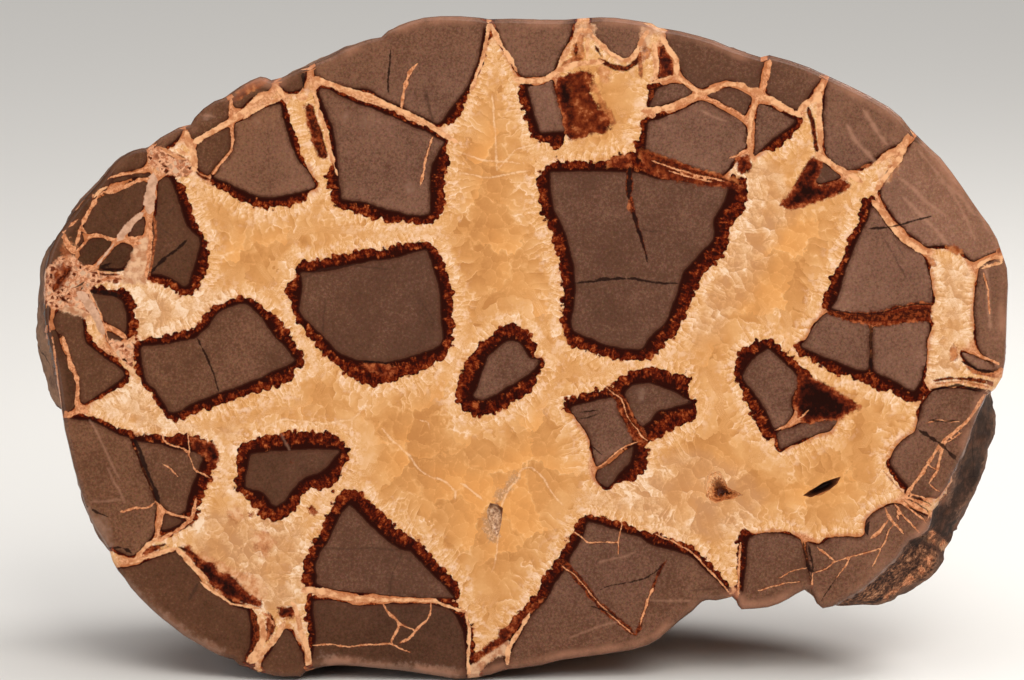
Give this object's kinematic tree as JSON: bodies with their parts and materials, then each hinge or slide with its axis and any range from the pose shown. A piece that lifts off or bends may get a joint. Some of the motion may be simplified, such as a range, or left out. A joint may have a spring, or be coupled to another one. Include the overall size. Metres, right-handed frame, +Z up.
{
  "type": "septarian nodule",
  "caption": "Half of a septarian nodule standing on its ground flat: polished cut face with calcite-filled cracks between grey stone blocks, rounded weathered back.",
  "frame": {"origin": "centre of the small flat on the belly that the stone stands on", "axes": "+X along the widest span to the right of someone facing the cut, +Y away from them into the stone, +Z up; the polished face leans back 10 degrees"},
  "size_m": [0.2005, 0.076, 0.1337],
  "materials": {
    "nodule": "polished cut face, matte weathered back",
    "calcite_crystal": "small glassy crystals"
  },
  "bodies": {
    "root": {"nodule": "nodule", "pit_crystals": "calcite_crystal"}
  },
  "joints": []
}
